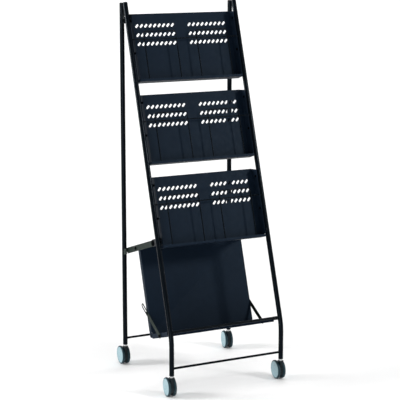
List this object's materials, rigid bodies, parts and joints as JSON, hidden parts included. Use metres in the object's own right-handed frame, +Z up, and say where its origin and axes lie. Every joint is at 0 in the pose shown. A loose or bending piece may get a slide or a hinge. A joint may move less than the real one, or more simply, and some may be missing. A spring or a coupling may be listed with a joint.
{
  "type": "mobile brochure rack",
  "caption": "Free-standing folding brochure rack: leaning tubular frame with perforated trays and wire guards above a hinged stock shelf, on twin-wheel swivel casters.",
  "frame": {"origin": "on the floor, midway between the left and right legs and midway between the front and rear wheels", "axes": "+Z up, -Y towards the front where the brochures face, +X to the right seen from the front"},
  "size_m": [0.5249, 0.5277, 1.4921],
  "materials": {
    "frame_paint": "fine-texture satin powder coat, dark navy",
    "sheet_paint": "fine-texture satin powder coat, dark navy",
    "link_paint": "satin powder coat, dark grey-green",
    "clip_plastic": "grey-green moulded clip",
    "wire_paint": "satin powder coat over round wire",
    "plated_steel": "bright zinc plate",
    "black_fastener": "black oxide, satin",
    "cap_plastic": "moulded, fine matt",
    "caster_tread": "dark grey-blue polyurethane",
    "caster_plastic": "moulded nylon",
    "hub_plastic": "pale blue-grey moulded cover"
  },
  "bodies": {
    "front_frame": {"front_leg_left": "frame_paint", "front_leg_right": "frame_paint", "front_crossbar": "wire_paint", "front_lower_rod": "wire_paint", "leg_caps": "cap_plastic", "hinge_leg_ears": "frame_paint", "hinge_rivets": "black_fastener", "pivot_brackets": "frame_paint", "frame_pivot_pins": "black_fastener", "tray_screws": "black_fastener", "lower_tray_back": "sheet_paint", "lower_tray_ends": "sheet_paint", "lower_tray_shelf": "sheet_paint", "lower_guard_rod": "wire_paint", "lower_guard_hoops": "wire_paint", "middle_tray_back": "sheet_paint", "middle_tray_ends": "sheet_paint", "middle_tray_shelf": "sheet_paint", "middle_guard_rod": "wire_paint", "middle_guard_hoops": "wire_paint", "upper_tray_back": "sheet_paint", "upper_tray_ends": "sheet_paint", "upper_tray_shelf": "sheet_paint", "upper_guard_rod": "wire_paint", "upper_guard_hoops": "wire_paint", "front_left_caster_stem": "plated_steel", "front_right_caster_stem": "plated_steel"},
    "rear_frame": {"rear_post_left": "frame_paint", "rear_post_right": "frame_paint", "rear_crossbar": "wire_paint", "post_caps": "cap_plastic", "hinge_post_ears": "frame_paint", "hook_pins": "black_fastener", "post_saddles": "clip_plastic", "rear_left_caster_stem": "plated_steel", "rear_right_caster_stem": "plated_steel"},
    "link_bars": {"link_left": "link_paint", "link_right": "link_paint"},
    "stock_shelf": {"stock_shelf": "sheet_paint", "shelf_pins": "black_fastener"},
    "stock_panel": {"stock_panel": "sheet_paint", "panel_pins": "black_fastener"},
    "braces": {"brace_left": "link_paint", "brace_right": "link_paint"},
    "front_left_swivel": {"front_left_caster_body": "caster_plastic", "front_left_caster_axle": "plated_steel"},
    "front_left_wheel": {"front_left_caster_wheels": "caster_tread", "front_left_hub_covers": "hub_plastic"},
    "front_right_swivel": {"front_right_caster_body": "caster_plastic", "front_right_caster_axle": "plated_steel"},
    "front_right_wheel": {"front_right_caster_wheels": "caster_tread", "front_right_hub_covers": "hub_plastic"},
    "rear_left_swivel": {"rear_left_caster_body": "caster_plastic", "rear_left_caster_axle": "plated_steel"},
    "rear_left_wheel": {"rear_left_caster_wheels": "caster_tread", "rear_left_hub_covers": "hub_plastic"},
    "rear_right_swivel": {"rear_right_caster_body": "caster_plastic", "rear_right_caster_axle": "plated_steel"},
    "rear_right_wheel": {"rear_right_caster_wheels": "caster_tread", "rear_right_hub_covers": "hub_plastic"}
  },
  "joints": [
    {"name": "shelf_fold", "type": "hinge", "parent": "front_frame", "child": "link_bars", "pos_m": [0, -0.06276, 0.56986], "axis": [1, 0, 0], "range_deg": [0, 80]},
    {"name": "shelf_pivot", "type": "hinge", "parent": "front_frame", "child": "stock_shelf", "pos_m": [0, -0.2005, 0.24255], "axis": [1, 0, 0], "range_deg": [0, 80]},
    {"name": "panel_pivot", "type": "hinge", "parent": "stock_shelf", "child": "stock_panel", "pos_m": [0, -0.02581, 0.18478], "axis": [1, 0, 0], "range_deg": [-80, 0]},
    {"name": "brace_pivot", "type": "hinge", "parent": "stock_shelf", "child": "braces", "pos_m": [0, -0.11314, 0.20734], "axis": [1, 0, 0], "range_deg": [-40, 0]},
    {"name": "rear_frame_fold", "type": "hinge", "parent": "front_frame", "child": "rear_frame", "pos_m": [0, 0.179, 1.417], "axis": [1, 0, 0], "range_deg": [-12, 0]},
    {"name": "front_left_swivel", "type": "hinge", "parent": "front_frame", "child": "front_left_swivel", "pos_m": [-0.24, -0.246, 0.0796], "axis": [0, 0, 1], "continuous": true},
    {"name": "front_left_roll", "type": "hinge", "parent": "front_left_swivel", "child": "front_left_wheel", "pos_m": [-0.23799, -0.2251, 0.0375], "axis": [0.9954, -0.0958, 0], "continuous": true},
    {"name": "front_right_swivel", "type": "hinge", "parent": "front_frame", "child": "front_right_swivel", "pos_m": [0.24, -0.246, 0.0796], "axis": [0, 0, 1], "continuous": true},
    {"name": "front_right_roll", "type": "hinge", "parent": "front_right_swivel", "child": "front_right_wheel", "pos_m": [0.24165, -0.22506, 0.0375], "axis": [0.9969, -0.0785, 0], "continuous": true},
    {"name": "rear_left_swivel", "type": "hinge", "parent": "rear_frame", "child": "rear_left_swivel", "pos_m": [-0.24, 0.204, 0.0796], "axis": [0, 0, 1], "continuous": true},
    {"name": "rear_left_roll", "type": "hinge", "parent": "rear_left_swivel", "child": "rear_left_wheel", "pos_m": [-0.23927, 0.22499, 0.0375], "axis": [0.9994, -0.0349, 0], "continuous": true},
    {"name": "rear_right_swivel", "type": "hinge", "parent": "rear_frame", "child": "rear_right_swivel", "pos_m": [0.24, 0.204, 0.0796], "axis": [0, 0, 1], "continuous": true},
    {"name": "rear_right_roll", "type": "hinge", "parent": "rear_right_swivel", "child": "rear_right_wheel", "pos_m": [0.24365, 0.22468, 0.0375], "axis": [0.9848, -0.1736, 0], "continuous": true}
  ],
  "couplings": [
    {"joint": "shelf_pivot", "follows": "shelf_fold", "ratio": 1},
    {"joint": "panel_pivot", "follows": "shelf_fold", "ratio": -1},
    {"joint": "brace_pivot", "follows": "shelf_fold", "ratio": -0.5},
    {"joint": "rear_frame_fold", "follows": "shelf_fold", "ratio": -0.15}
  ]
}
